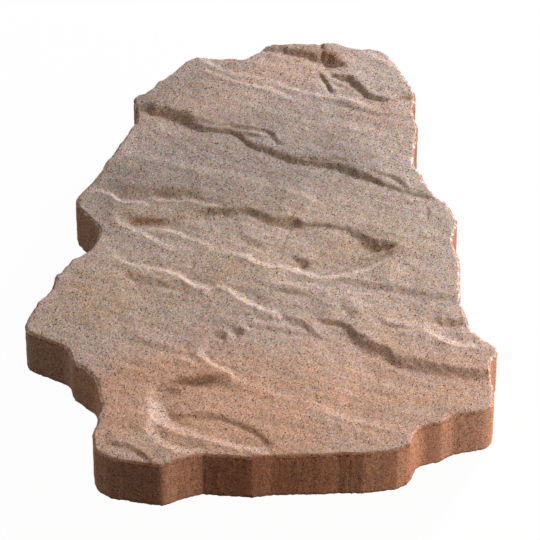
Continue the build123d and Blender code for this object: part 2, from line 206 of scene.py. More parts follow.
ridges = [
    {"name": "backUpper", "easeHigh": 12, "easeLow": 11, "path": [
        (-157.5, 168, 0, 6.6), (-161.5, 161, 1, 6.6), (-167.5, 151, 1.6, 7.1), (-174.5, 142, 1.6, 7.1),
        (-179.5, 129, 1.4, 7.1), (-183.5, 119, 1.4, 7.1), (-190.5, 107, 1.4, 7.1), (-196.5, 96, 1.4, 7.1),
        (-202.5, 88, 1.7, 7.1), (-209.5, 80, 1.7, 7.1), (-214.5, 70, 1.4, 7.1), (-220.5, 61, 1.6, 7.1),
        (-225.5, 49, 1.8, 7.1), (-230.5, 40, 1.8, 7.1), (-239.5, 30, 1.8, 7.1), (-248.5, 21, 1.6, 7.1),
        (-259.5, 10, 1.3, 7.1)]},
    {"name": "backLower", "easeHigh": 12, "easeLow": 9, "path": [
        (-177.5, 100, 0, 6.6), (-182.5, 94, 1.2, 6.6), (-187.5, 87, 1.6, 7.1), (-193.5, 81, 1.8, 7.1),
        (-201.5, 72, 1.8, 7.1), (-210.5, 56, 1.8, 7.1), (-218.5, 40, 1.8, 7.1), (-226.5, 31, 1.6, 6.6),
        (-233.5, 20, 1.2, 6.6), (-240.5, 13, 0, 6.6)]},
    {"name": "backEdge", "easeHigh": 9, "easeLow": 9, "path": [
        (-209.5, 195, 0, 6), (-212.5, 191, 1.6, 6), (-220.5, 180, 1.4, 6), (-227.5, 169, 0, 6)]},
    {"name": "faintRight", "easeHigh": 14, "easeLow": 12, "path": [
        (-127.5, 168, 0.0, 10.8), (-131.5, 158, 0.9, 10.8), (-137.5, 142, 0.9, 10.8),
        (-147.5, 123, 0.7, 10.8), (-153.5, 108, 0.0, 10.8)]},
    {"name": "softLine", "easeHigh": 22, "easeLow": 24, "path": [
        (-44, 96, 0, 9), (-48, 90, 0.9, 9), (-56, 82, 1.1, 9), (-65, 73, 1.1, 9), (-75, 62, 0.9, 10),
        (-84, 48, 0.9, 11), (-91, 30, 0.9, 11), (-102, 10, 0.9, 11), (-108, -5, 0.9, 11),
        (-117, -19, 0.9, 11), (-127, -34, 0.9, 11), (-135, -48, 0.9, 11), (-143, -63, 0.9, 11),
        (-149, -76, 0.9, 11), (-156, -92, 0.7, 11)]},
    {"name": "leftHead", "easeHigh": 10, "easeLow": 14, "path": [
        (-75.8, -66, 0, 5.5), (-81.8, -70, 1.3, 5.5), (-86.8, -78, 1.7, 5), (-88.8, -86, 2, 5.5),
        (-91.8, -93, 2.3, 5.9), (-98.8, -98, 2.3, 5.9), (-104.8, -104, 2, 5.5), (-107.8, -111, 1.7, 5.5),
        (-109.8, -124, 0, 5.5)]},
    {"name": "leftMiddle", "easeHigh": 9, "easeLow": 12, "path": [
        (-61.5, 0, 0, 6.6), (-64.5, -8, 1.8, 7.1), (-66.5, -14, 2.1, 7.6), (-71.5, -21, 2.2, 8.1),
        (-77.5, -29, 1.8, 7.6), (-80.5, -39, 1.6, 7.1), (-83.5, -52, 1.6, 7.1), (-87.5, -61, 1.6, 7.1),
        (-90.5, -69, 0, 6.6)]},
    {"name": "leftBranch", "easeHigh": 16, "easeLow": 10, "path": [
        (-15.5, -38, 0, 6.6), (-18.5, -45, 1.4, 6.6), (-21.5, -55, 1.8, 7.1), (-26.5, -63, 1.8, 7.1),
        (-33.5, -70, 2, 7.1), (-41.5, -76, 2.1, 7.1), (-47.5, -83, 2.2, 7.6), (-52.5, -89, 2.2, 7.6),
        (-61.5, -96, 1.8, 7.6), (-69.5, -101, 1.2, 7.6), (-77.5, -108, 0, 7.6)]},
    {"name": "leftHook", "easeHigh": 9, "easeLow": 9, "path": [
        (-7.5, -34, 0, 6.6), (-9.5, -26, 1.6, 6.6), (-15.5, -21, 1.8, 7.1), (-22.5, -25, 1.8, 7.1),
        (-29.5, -36, 1.6, 7.1), (-39.5, -48, 1.8, 7.1), (-46.5, -58, 1.8, 7.1), (-53.5, -67, 0, 7.1)]},
    {"name": "middle", "easeHigh": 18, "easeLow": 12, "path": [
        (36.5, -29, 0, 6.6), (31.5, -35, 1.8, 7.1), (27.5, -42, 2.2, 7.6), (22.5, -49, 2.6, 8.1),
        (15.5, -53, 2.6, 8.1), (10.5, -57, 2.5, 7.6), (5.5, -65, 2.2, 7.6), (-0.5, -76, 1.8, 7.1),
        (-6.5, -88, 2.1, 7.6), (-11.5, -96, 2, 7.6), (-18.5, -106, 1.6, 7.1), (-26.5, -114, 0, 6.6)]},
    {"name": "middleTail", "easeHigh": 26, "easeLow": 12, "path": [
        (82.5, 26, 0, 8.6), (74.5, 18, 1.8, 8.6), (65.5, 8, 2.1, 8.6), (56.5, -1, 2.5, 8.6),
        (48.5, -8, 2.6, 8.6), (41.5, -14, 2.5, 8.1), (33.5, -21, 1.8, 7.6), (28.5, -29, 0, 7.1)]},
    {"name": "basinLip", "easeHigh": 18, "easeLow": 20, "path": [
        (27.5, 141, 0, 8.1), (31.5, 134, 3, 8.6), (37.5, 122, 3.9, 9.2), (40.5, 112, 4.1, 9.2),
        (41.5, 99, 3.9, 9.2), (41.5, 84, 3.5, 9.2), (39.5, 73, 3.4, 9.2), (34.5, 62, 3.3, 9.2),
        (28.5, 54, 3, 8.6), (23.5, 45, 2.7, 8.1), (18.5, 36, 2.6, 8.1), (16.5, 27, 2.3, 8.1),
        (11.5, 18, 2.3, 8.1), (1.5, 10, 2.2, 8.1), (-4.5, 0, 1.8, 7.4), (-9.5, -12, 0, 6.9)]},
    {"name": "lowLip", "easeHigh": 12, "easeLow": 9, "path": [
        (58.5, 78, 0, 7.6), (52.5, 67, 1, 7.6), (48.5, 57, 1.3, 7.6), (44.5, 46, 1.3, 7.6),
        (40.5, 36, 1.1, 7.6), (36.5, 24, 0, 7.6)]},
    {"name": "softRight", "easeHigh": 12, "easeLow": 12, "path": [
        (86.5, 106, 0.0, 13.6), (78.5, 99, 1.1, 13.6), (68.5, 92, 1.1, 13.6), (58.5, 84, 0.0, 13.6)]},
    {"name": "frontFaint", "easeHigh": 9, "easeLow": 9, "path": [
        (122.5, -63, 0, 6.6), (116.5, -67, 1.2, 7.1), (110.5, -73, 1.3, 7.1), (104.5, -80, 0, 6.6)]},
    {"name": "frontLine", "easeHigh": 15, "easeLow": 15, "path": [
        (226.5, 92, 0, 10), (217.5, 74, 0.9, 10), (208.5, 57, 1.4, 10), (200.5, 48, 1.5, 9),
        (192.5, 36, 1, 9), (180.5, 24, 0.6, 9), (170.5, 6, 0.6, 9), (162.5, -6, 0.6, 9),
        (154.5, -16, 0.6, 9), (147.5, -25, 0.8, 8), (140.5, -32, 1.8, 7.5), (132.5, -38, 2.5, 7.5),
        (125.5, -46, 2.8, 7.5), (118.5, -52, 2.8, 7.5), (109.5, -56, 2.6, 8), (103.5, -54, 2.2, 8),
        (97.5, -49, 1.3, 7), (91.5, -45, 0, 7)]},
    {"name": "frontSwirl", "easeHigh": 24, "easeLow": 14, "path": [
        (234.5, -14, 0, 8), (231.5, -22, 1.6, 8), (229.5, -30, 2.2, 8.5), (223.5, -44, 2.6, 9),
        (215.5, -56, 2.6, 9), (208.5, -67, 2.4, 9), (199.5, -79, 2.4, 9.5), (193.5, -91, 2.8, 11),
        (181.5, -102, 3.3, 14), (167.5, -108, 3.3, 15), (156.5, -110, 2.7, 14), (146.5, -108, 1.6, 12),
        (138.5, -104, 0, 10)]},
    {"name": "frontHook", "easeHigh": 16, "easeLow": 10, "path": [
        (219.5, -78, 0, 7.6), (217.5, -84, 1.8, 8.6), (214.5, -97, 2.5, 9.8), (209.5, -105, 2.7, 9.8),
        (201.5, -112, 2.7, 9.8), (191.5, -117, 3.1, 12.2), (181.5, -117, 2.6, 11.5),
        (174.5, -115, 1.9, 10.8), (168.5, -112, 0, 9.5)]},
    {"name": "right", "easeHigh": 15, "easeLow": 17, "path": [
        (155.5, 212, 1.8, 8.6), (153.5, 196, 2.2, 8.6), (147.5, 180, 2.7, 9.2), (141.5, 170, 3.1, 9.8),
        (134.5, 162, 3.3, 9.8), (126.5, 153, 3, 9.8), (118.5, 147, 2.2, 8.6), (110.5, 133, 1.8, 8.6),
        (105.5, 121, 1.4, 8.1), (99.5, 108, 0, 7.6)]},
]

# Where each pigment shows in plan: centre, spread along X and Y, share
pigmentPatches = {
    "greyShare": [(-110, -40, 62, 130, 1.0), (-150, 120, 60, 60, 0.35), (-55, 60, 30, 80, 0.35),
                  (-205, -15, 32, 50, 1.1), (-235, 30, 28, 45, 0.5), (-160, 45, 20, 30, 0.6),
                  (-105, 95, 18, 30, 0.6), (-70, 15, 20, 40, 0.7), (-80, 35, 24, 45, 0.4),
                  (-120, -75, 18, 30, 0.4), (-245, 125, 14, 30, 0.5), (-85, 125, 18, 22, 0.5)],
    "pinkShare": [(190, 20, 75, 230, 1.0), (140, -110, 45, 70, 1.0), (-190, -10, 24, 60, 0.28),
                  (-222, 90, 22, 60, 0.45), (-140, 170, 25, 30, 0.3)],
    "ochreShare": [(20, -120, 45, 90, 0.8), (18, 60, 45, 110, 0.6), (120, 130, 45, 60, 0.3),
                   (-65, -50, 24, 50, 0.4), (-45, 70, 24, 60, 0.3), (10, 140, 45, 45, 0.3)],
    # the rust patches are reddish pigment and, on the dark ledges, painted shade
    "rustAndShadeShare": [(-61, -79, 5, 11, 0.9), (-58, -64, 4, 10, 0.7), (140, -60, 5, 24, 1.3),
                  (137, -82, 5, 9, 0.5), (148, -87, 4, 9, 0.6), (222, -132, 10, 10, 0.4),
                  (-228, 140, 8, 9, 0.8), (-240, 118, 6, 16, 0.4), (-28, 60, 6, 8, 0.45),
                  (20, 60, 6, 10, 0.5), (20, 136, 11, 9, 0.35)],
    # these patches are painted highlight, where the ground faces the key lamp
    "paintedHighlightShare": [(25, 40, 26, 50, 0.35), (55, 90, 22, 60, 0.3), (130, 168, 30, 40, 0.5),
                  (-10, -75, 40, 40, 0.25), (166, -112, 20, 14, 0.8)],
}
# The other tints of the mesh, as shares from 0 to 1
tints = {
    "wallBase": 0.52,
    "wallSteppedEnd": 0.48,   # the walls are reddest in the middle of the stepped end
    "wallRight": 0.18,        # and redder on the right than on the left
    # painted shade on the rear right walls, which face the key lamp: more wall pigment, and darkened
    "paintedWallShadeRearRight": 0.2,
    "shadeRearRight": 0.45,
    # painted highlight on the ridge slopes that face the key lamp
    "paintedHighlightOnRidges": 0.5,
    # painted shade, in the rust pigment, on the ledge slopes that face away from the key lamp
    "paintedShadeOnLedges": 0.22,
    "blotches": 0.22,         # unevenness of the pigments, broad and fine
    "mottling": 0.2,
}


# smooth lattice noise from -1 to 1, the same on each run
def latticeNoise(x, y, seed):
    table = np.random.default_rng(seed).uniform(-1.0, 1.0, (256, 256))
    xi, yi = np.floor(x).astype(int), np.floor(y).astype(int)
    fx, fy = x - xi, y - yi
    fx = fx * fx * fx * (fx * (fx * 6 - 15) + 10)
    fy = fy * fy * fy * (fy * (fy * 6 - 15) + 10)
    x0, x1, y0, y1 = xi % 256, (xi + 1) % 256, yi % 256, (yi + 1) % 256
    low = table[x0, y0] * (1 - fx) + table[x1, y0] * fx
    high = table[x0, y1] * (1 - fx) + table[x1, y1] * fx
    return low * (1 - fy) + high * fy


def layeredNoise(x, y, size, seed, layers=4, keep=0.5):
    total, share, scale = np.zeros_like(x), 1.0, 1.0 / size
    for layer in range(layers):
        total += share * latticeNoise(x * scale + 17.3 * layer, y * scale - 9.1 * layer, seed + layer)
        share *= keep
        scale *= 2.03
    return total


# a path's points joined by a smooth curve, a few mm apart
def smoothPath(points, step=3.0):
    p = np.array(points, float)
    p = np.vstack([2 * p[0] - p[1], p, 2 * p[-1] - p[-2]])
    out = []
    for i in range(1, len(p) - 2):
        n = max(2, int(np.linalg.norm(p[i + 1, :2] - p[i, :2]) / step))
        for t in np.arange(n) / n:
            out.append(0.5 * (2 * p[i] + (p[i + 1] - p[i - 1]) * t
                              + (2 * p[i - 1] - 5 * p[i] + 4 * p[i + 1] - p[i + 2]) * t ** 2
                              + (3 * p[i] - p[i - 1] - 3 * p[i + 1] + p[i + 2]) * t ** 3))
    out.append(p[-2])
    return np.array(out)


# height that one ledge gives each point: a slope on its path, easing out on both sides. With a bow of 1
# the slope is steepest at its foot, with -1 at its head. A shoulder rounds the ground off above it.
# Also how far each point lies within the slope, from 0 to 1.
def ledgeHeight(x, y, ledge, vary, rough, ridge):
    path = smoothPath(ledge["path"])
    reach = 3.0 * max(ledge["easeHigh"], ledge["easeLow"]) + path[:, 3].max()
    near = ((x > path[:, 0].min() - reach) & (x < path[:, 0].max() + reach)
            & (y > path[:, 1].min() - reach) & (y < path[:, 1].max() + reach))
    px, py = x[near], y[near]
    best = np.full(px.shape, 1e9)
    side, height, width = np.zeros(px.shape), np.zeros(px.shape), np.ones(px.shape)
    for a, b in zip(path, path[1:]):
        run = b[:2] - a[:2]
        along = np.clip(((px - a[0]) * run[0] + (py - a[1]) * run[1]) / (run @ run), 0, 1)
        dx, dy = px - a[0] - along * run[0], py - a[1] - along * run[1]
        gap = dx * dx + dy * dy
        closer = gap < best
        best = np.where(closer, gap, best)
        side = np.where(closer, run[0] * dy - run[1] * dx, side)
        height = np.where(closer, a[2] + (b[2] - a[2]) * along, height)
        width = np.where(closer, a[3] + (b[3] - a[3]) * along, width)
    width *= 1 + slab["ledgeVary"] * vary[near]
    height *= 1 + slab["ridgeVary" if ridge else "ledgeVary"] * vary[near]
    d = np.sqrt(best) * np.where(side >= 0, 1.0, -1.0) - (0.5 * width if ridge else 0.0)
    t = np.clip((d + width) / width, 0, 1)
    bow = ledge.get("bow", -0.7 if ridge else 0.5)
    slope = (1 - abs(bow)) * (0.5 * t * t * (3 - 2 * t) + 0.5 * t)
    slope += max(bow, 0) * (1 - (1 - t) ** 2) + max(-bow, 0) * t ** 2
    ease = np.where(d >= 0, np.exp(-np.maximum(d, 0) / ledge["easeHigh"]),
                    np.exp(np.minimum(d + width, 0) / ledge["easeLow"]))
    shoulder = ledge.get("shoulder", 0) * height * t * np.exp(-np.maximum(d, 0) / slab["shoulderReach"])
    broken = slab["slopeRough"] * np.minimum(height, 2.5) * np.minimum(1, 6 / width) * rough[near]
    out, zone = np.zeros(x.shape), np.zeros(x.shape)
    out[near] = height * (slope - 0.5) * ease - shoulder + broken * t * (1 - t)
    zone[near] = np.clip(height / 2.5, 0, 1) * 4 * t * (1 - t)
    return out, zone


# relief of the walking face at plan points, mm, before it is set to its level, and where its slopes are, which
# get painted highlight and painted shade
def rivenRelief(x, y):
    wander = slab["wander"]
    wx = x + wander * (layeredNoise(x, y, 30.0, 11, 2) + 0.8 * layeredNoise(x, y, 8.0, 15, 3, 0.6))
    wy = y + wander * (layeredNoise(x, y, 30.0, 21, 2) + 0.8 * layeredNoise(x, y, 8.0, 25, 3, 0.6))
    vary = layeredNoise(x, y, 22.0, 131, 3)
    rough = layeredNoise(x, y, 5.0, 151, 3, 0.7)
    # the ridge slopes are marked for painted highlight, the ledge slopes for painted shade
    relief, paintedHighlight, paintedLedgeShade = np.zeros_like(x), np.zeros_like(x), np.zeros_like(x)
    for ledge in ledges:
        fall, zone = ledgeHeight(wx, wy, ledge, vary, rough, False)
        relief += fall
        paintedLedgeShade = np.maximum(paintedLedgeShade, zone)
    for ledge in ridges:
        rise, zone = ledgeHeight(wx, wy, ledge, vary, rough, True)
        relief += rise
        paintedHighlight = np.maximum(paintedHighlight, zone)
    turn = math.radians(slab["beddingAngle"])
    u = x * math.cos(turn) + y * math.sin(turn)
    v = y * math.cos(turn) - x * math.sin(turn)
    relief += slab["swell"] * layeredNoise(x, y, 90.0, 31, 3)
    relief += slab["bedding"] * layeredNoise(u / 5.0, v, 11.0, 41, 3)
    relief += slab["pitting"] * layeredNoise(x, y, 5.0, 51, 2, 0.8)
    return relief * slab["reliefScale"], paintedHighlight, paintedLedgeShade


# plan outline of the slab from the rim of the CAD model's flat underside, mm, anticlockwise
def castOutline(node):
    bm = bmesh.new()
    bm.from_mesh(node.data)
    bmesh.ops.remove_doubles(bm, verts=bm.verts, dist=1e-6)
    under = {f for f in bm.faces if f.normal.z < -0.99 and f.calc_center_median().z < 1e-5}
    links = {}
    for e in bm.edges:
        if sum(f in under for f in e.link_faces) == 1:
            a, b = e.verts
            links.setdefault(a, []).append(b)
            links.setdefault(b, []).append(a)
    first = min(links, key=lambda v: (v.co.x, v.co.y))
    loop, last, here = [first], None, first
    while True:
        onward = [v for v in links[here] if v is not last][0]
        if onward is first:
            break
        loop.append(onward)
        last, here = here, onward
    points = np.array([(v.co.x, v.co.y) for v in loop]) / mm
    bm.free()
    x, y = points.T
    if np.dot(x, np.roll(y, -1)) - np.dot(y, np.roll(x, -1)) < 0:
        points = points[::-1]
    return points


def evenSteps(loop, step):
    closed = np.vstack([loop, loop[:1]])
    lengths = np.concatenate([[0], np.cumsum(np.linalg.norm(np.diff(closed, axis=0), axis=1))])
    at = np.linspace(0, lengths[-1], int(round(lengths[-1] / step)), endpoint=False)
    return np.stack([np.interp(at, lengths, closed[:, 0]), np.interp(at, lengths, closed[:, 1])], -1), at


def inwards(loop):
    run = np.roll(loop, -1, 0) - np.roll(loop, 1, 0)
    n = np.stack([-run[:, 1], run[:, 0]], -1)
    n /= np.linalg.norm(n, axis=1)[:, None]
    return n


def insideLoop(x, y, loop):
    inside = np.zeros(x.shape, bool)
    for (ax, ay), (bx, by) in zip(loop, np.roll(loop, -1, 0)):
        if ay != by:
            crosses = ((ay > y) != (by > y)) & (x < (bx - ax) * (y - ay) / (by - ay) + ax)
            inside ^= crosses
    return inside


def gapToLoop(x, y, loop):
    gap = np.full(x.shape, 1e9)
    for ax, ay in loop:
        gap = np.minimum(gap, (x - ax) ** 2 + (y - ay) ** 2)
    return np.sqrt(gap)


# plan points of the walking face: rings along the arris, then an even spread
def facePoints(rim, facing):
    rings = [rim + facing * offset for offset in slab["arrisRings"]]
    step = slab["pointStep"]
    rows = np.arange(rim[:, 1].min(), rim[:, 1].max(), step * math.sqrt(3) / 2)
    gx, gy = np.meshgrid(np.arange(rim[:, 0].min(), rim[:, 0].max(), step), rows)
    gx = gx + np.where(np.arange(len(rows)) % 2, step / 2, 0)[:, None]
    jitter = np.random.default_rng(5)
    gx = (gx + jitter.uniform(-0.2, 0.2, gx.shape) * step).ravel()
    gy = (gy + jitter.uniform(-0.2, 0.2, gy.shape) * step).ravel()
    keep = insideLoop(gx, gy, rim)
    gx, gy = gx[keep], gy[keep]
    keep = gapToLoop(gx, gy, rim) > slab["arrisRings"][-1] + 0.7 * step
    return np.vstack(rings + [np.stack([gx[keep], gy[keep]], -1)])


# triangles over plan points inside a rim of n points; also where each point went
def triangulate(points, n):
    cut = geometry.delaunay_2d_cdt([Vector(p) for p in points], [], [list(range(n))], 1, 1e-6)
    order = np.full(len(points), -1)
    for i, sources in enumerate(cut[3]):
        for s in sources:
            order[s] = i
    return np.array([tuple(v) for v in cut[0]]), [list(f) for f in cut[2]], order


# level of the walking face, with its crumbled arris; also how far down the arris each point lies, and
# how far it lies within a ridge's slope, which gets painted highlight, and within a ledge's, which gets
# painted shade
def faceLevel(x, y, edgeGap):
    relief, paintedHighlight, paintedLedgeShade = rivenRelief(x, y)
    relief -= np.percentile(relief, 99.7)
    relief = np.where(relief > 0, 0.25 * np.tanh(relief * 2), relief) - slab["headroom"]
    wear = 1 + 0.16 * layeredNoise(x, y, 9.0, 61, 2)
    t = np.clip(1 - edgeGap / (slab["arrisWidth"] * wear), 0, 1)
    teeth = slab["arrisTeeth"] * layeredNoise(x, y, 2.2, 65, 2, 0.8)
    relief -= slab["arrisDepth"] * wear * t + teeth * t ** 2
    return (cadHigh.z - cadLow.z) / mm + relief, t, paintedHighlight, paintedLedgeShade


# how far the rim is chipped back from the outline, most of all at the back and on the left
def rimChips(rim, rimAt):
    rough = np.clip((60 - rim[:, 0] - rim[:, 1]) / 120, 0.25, 1)
    broken = layeredNoise(rimAt, np.zeros(len(rim)), 13.0, 141, 2, 0.6)
    return slab["rimChips"] * rough * np.clip(0.25 + broken, 0, 1)


# wall points, row by row from the arris down, each a little in from the outline; the skin of the walking
# face hangs over the wall in places and leaves a groove under the rim, which also gets painted shade
def wallRows(rim, rimAt, rimZ, chips):
    facing, n = inwards(rim), len(rim)
    streak = layeredNoise(rimAt, np.zeros(n), 6.0, 71, 3, 0.6)
    groove = slab["rimGroove"] * np.clip(0.55 + 0.9 * layeredNoise(rimAt, np.ones(n), 5.0, 75, 2, 0.8), 0, 1)
    drops, rows, shade = slab["rimDrops"], [], []
    for i in range(slab["wallRows"]):
        if i < len(drops):
            rowZ = rimZ - drops[i]
        else:
            rowZ = (rimZ - drops[-1]) * (slab["wallRows"] - 1 - i) / (slab["wallRows"] - len(drops))
        rough = (0.07 * streak + 0.18 * layeredNoise(rimAt, rowZ, 4.0, 81, 3, 0.7)
                 + 0.10 * layeredNoise(rimAt, rowZ * 0.3, 38.0, 91, 2))
        inGroove = groove * (0.8, 1.0, 0.5, 0.0)[min(i, 3)]
        rough += inGroove
        # painted shade in the groove, as strong as the groove is deep
        shade.append(inGroove / slab["rimGroove"])
        foot = slab["footRound"] * np.clip(1 - rowZ / 2.5, 0, 1) ** 2 * (0.6 + 0.8 * np.abs(streak))
        depth = np.clip(0.28 + rough + foot, 0.02, 2.0) + chips * (1.0, 0.85, 0.6, 0.3, 0.0)[min(i, 4)]
        rows.append(np.column_stack([rim + facing * depth[:, None], rowZ]))
    return rows, np.concatenate(shade)


# the whole slab as one closed mesh
def castSlab():
    rim, rimAt = evenSteps(castOutline(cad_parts["paving_slab"]), slab["rimStep"])
    n, chips = len(rim), rimChips(rim, rimAt)
    facing = inwards(rim)
    brokenRim = rim + facing * chips[:, None]
    plan, faces, order = triangulate(facePoints(brokenRim, facing), n)
    print("walking face", len(plan), "points", len(faces), "triangles")
    x, y = plan.T
    rimIndex = order[:n]
    edgeGap = gapToLoop(x, y, brokenRim)
    edgeGap[rimIndex] = 0.0
    z, arrisShare, paintedHighlightSlope, paintedLedgeShadeSlope = faceLevel(x, y, edgeGap)
    verts = [np.column_stack([x, y, z])]
    above, count = list(rimIndex), len(x)
    rows, grooveShade = wallRows(rim, rimAt, z[rimIndex], chips)
    for row in rows:
        verts.append(row)
        below = list(range(count, count + n))
        faces += [[above[i], below[i], below[(i + 1) % n], above[(i + 1) % n]] for i in range(n)]
        above, count = below, count + n
    underFaces, underOrder = triangulate([tuple(p[:2]) for p in verts[-1]], n)[1:]
    back = {int(to): i for i, to in enumerate(underOrder)}
    faces += [[above[back[i]] for i in reversed(f)] for f in underFaces]
    verts = np.vstack(verts)

    mesh = bpy.data.meshes.new("pavingSlab")
    mesh.from_pydata((verts * mm).tolist(), [], faces)
    mesh.validate()
    # crisp lines where the arris meets the wall and the walking face
    ring = np.zeros(len(verts), int)
    ring[order[:n]], ring[order[3 * n:4 * n]] = 1, 2
    ends = np.empty(2 * len(mesh.edges), int)
    mesh.edges.foreach_get("vertices", ends)
    a, b = ring[ends.reshape(-1, 2)].T
    mesh.edges.foreach_set("use_edge_sharp", (a > 0) & (a == b))
    tintSlab(mesh, verts, arrisShare, paintedHighlightSlope, paintedLedgeShadeSlope, grooveShade)
    mesh.polygons.foreach_set("use_smooth", np.ones(len(mesh.polygons), bool))
    piece = bpy.data.objects.new("pavingSlab", mesh)
    bpy.context.scene.collection.objects.link(piece)
    print("slab mesh", len(verts), "points", sum(len(f) - 2 for f in faces), "triangles")
    return piece


def setShare(mesh, name, values):
    layer = mesh.attributes.new(name, "FLOAT", "POINT")
    layer.data.foreach_set("value", np.asarray(values, np.float32))


# how much every point shows of each pigment, of painted highlight and of painted shade; the points of the
# walking face come first, then the walls'
def tintSlab(mesh, verts, arrisShare, paintedHighlightSlope, paintedLedgeShadeSlope, grooveShade):
    x, y = verts[:, 0], verts[:, 1]
    onFace = len(arrisShare)
    wall = tints["wallBase"] + tints["wallSteppedEnd"] * np.exp(-((x - 240) / 75) ** 2 - ((y + 20) / 120) ** 2)
    right, rear = np.clip(y / 120, 0, 1), np.clip((120 - x) / 200, 0, 1)
    # more of the brown wall pigment on the rear right walls: painted shade
    wall = np.clip(wall + tints["wallRight"] * right + tints["paintedWallShadeRearRight"] * rear * right, 0, 1)
    wall[:onFace] *= np.clip(1.7 * arrisShare, 0, 1)
    setShare(mesh, "wallShare", wall)
    # painted shade in the groove under the rim and on the rear right walls, which face the key lamp
    shade = np.zeros(len(verts))
    shade[onFace:] = grooveShade + tints["shadeRearRight"] * (right * rear)[onFace:]
    setShare(mesh, "grooveShare", shade)
    # loose pale crumbs along the arris, most of all in the cove on the left
    faceX, faceY = x[:onFace], y[:onFace]
    cove = np.exp(-((faceX - 150) / 45) ** 2 - ((faceY + 150) / 28) ** 2)
    loose = 5 * layeredNoise(faceX, faceY, 3.0, 121, 2, 0.8) - 1.2 + 2.5 * cove
    crumb = np.zeros(len(verts))
    crumb[:onFace] = ((arrisShare > 0.3) & (faceX < 205)) * np.clip(loose, 0, 1 + 0.6 * cove)
    setShare(mesh, "crumbShare", crumb)
    # painted highlight on the ridge slopes, and painted shade in the rust pigment on the ledge slopes
    slopes = {"paintedHighlightShare": tints["paintedHighlightOnRidges"] * paintedHighlightSlope, "rustAndShadeShare": tints["paintedShadeOnLedges"] * paintedLedgeShadeSlope}
    blotch = tints["blotches"] * layeredNoise(x, y, 42.0, 101, 4, 0.6)
    mottle = tints["mottling"] * layeredNoise(x, y, 9.0, 111, 3, 0.6)
    for name, patches in pigmentPatches.items():
        share = np.zeros(len(verts))
        share[:onFace] = slopes.get(name, 0.0)
        for cx, cy, sx, sy, amount in patches:
            share += amount * np.exp(-((x - cx) / sx) ** 2 - ((y - cy) / sy) ** 2)
        sign = -1 if name == "greyShare" else 1
        setShare(mesh, name, np.clip(share * (1 + sign * blotch + mottle), 0, 1.3))


# Pigments and grains of the mix, as sRGB numbers from 0 to 255, lengths in mm
concrete = {
    "body": (178, 160, 151),
    "greyPigment": (150, 136, 128),
    "pinkPigment": (196, 155, 131),
    "ochrePigment": (177, 152, 130),
    # reddish pigment, also used as painted shade on the ledge slopes
    "rustAndShadePigment": (142, 105, 82),
    # the pale colour of the painted highlight
    "paintedHighlightPigment": (216, 193, 184),
    "wallPigment": (159, 108, 82),
    "darkGrain": (56, 42, 34),
    "rustGrain": (196, 132, 104),
    "blueGrain": (140, 143, 152),
    "paleGrain": (224, 214, 210),
    "sandSize": 0.9,
    "sandContrast": 0.38,
    "speckSpacing": 1.7,
    # share of the cells, size, strength on the face, strength on the walls, shift of the cells
    "specks": {"rustGrain": (0.32, 0.27, 0.8, 0.4, 0.31), "blueGrain": (0.24, 0.27, 0.65, 0.2, 0.83),
               "paleGrain": (0.18, 0.24, 0.7, 0.1, 0.57), "darkGrain": (0.25, 0.29, 1.0, 1.0, 0.0)},
    # strength of the painted highlight
    "paintedHighlightStrength": 0.45,
    "crumbStrength": 0.55,
    # how dark the painted shade in the groove and on the rear right walls is
    "grooveShade": 0.6,
    "roughness": 0.93,
    "bump": 0.24,
    "wallBump": 0.5,          # added on the walls
}


def linear(rgb):
    return tuple(((c / 255 + 0.055) / 1.055) ** 2.4 if c > 10 else c / 255 / 12.92 for c in rgb) + (1.0,)


# a short hand for building node trees
class Nodes:
    def __init__(self, tree):
        self.tree = tree

    def feed(self, socket, value):
        if isinstance(value, bpy.types.NodeSocket):
            self.tree.links.new(value, socket)
        else:
            socket.default_value = value

    def add(self, kind, inputs=None, **settings):
        node = self.tree.nodes.new(kind)
        for key, value in settings.items():
            setattr(node, key, value)
        for key, value in (inputs or {}).items():
            self.feed(node.inputs[key], value)
        return node

    def mixColour(self, a, b, share, blend="MIX"):
        node = self.add("ShaderNodeMix", {0: share, 6: a, 7: b}, data_type="RGBA", blend_type=blend)
        return node.outputs[2]

    def math(self, operation, a, b=0.0, c=0.0, clamp=False):
        return self.add("ShaderNodeMath", {0: a, 1: b, 2: c}, operation=operation, use_clamp=clamp).outputs[0]

    def tint(self, colour, factor, share=1.0):
        return self.mixColour(colour, factor, share, "MULTIPLY")

    def ramp(self, value, stops):
        node = self.add("ShaderNodeValToRGB", {0: value})
        while len(node.color_ramp.elements) < len(stops):
            node.color_ramp.elements.new(0.5)
        for element, (at, tone) in zip(node.color_ramp.elements, stops):
            element.position = at
            element.color = tone if isinstance(tone, tuple) else (tone, tone, tone, 1)
        return node.outputs[0]


# round specks: one to a cell, a share of the cells, each of its own size
def specks(n, place, spacing, share, size, seedShift):
    shift = (seedShift, 0.7 * seedShift, 0.3 * seedShift)
    moved = n.add("ShaderNodeVectorMath", {0: place, 1: shift}, operation="ADD")
    cell = n.add("ShaderNodeTexVoronoi", {"Vector": moved.outputs[0], "Scale": 1.0 / (spacing * mm)})
    pick = n.add("ShaderNodeSeparateColor", {0: cell.outputs["Color"]})
    radius = n.math("MULTIPLY_ADD", pick.outputs[1], size, 0.5 * size)
    within = n.math("LESS_THAN", cell.outputs["Distance"], radius)
    chosen = n.math("LESS_THAN", pick.outputs[0], share)
    return n.math("MULTIPLY", within, chosen)


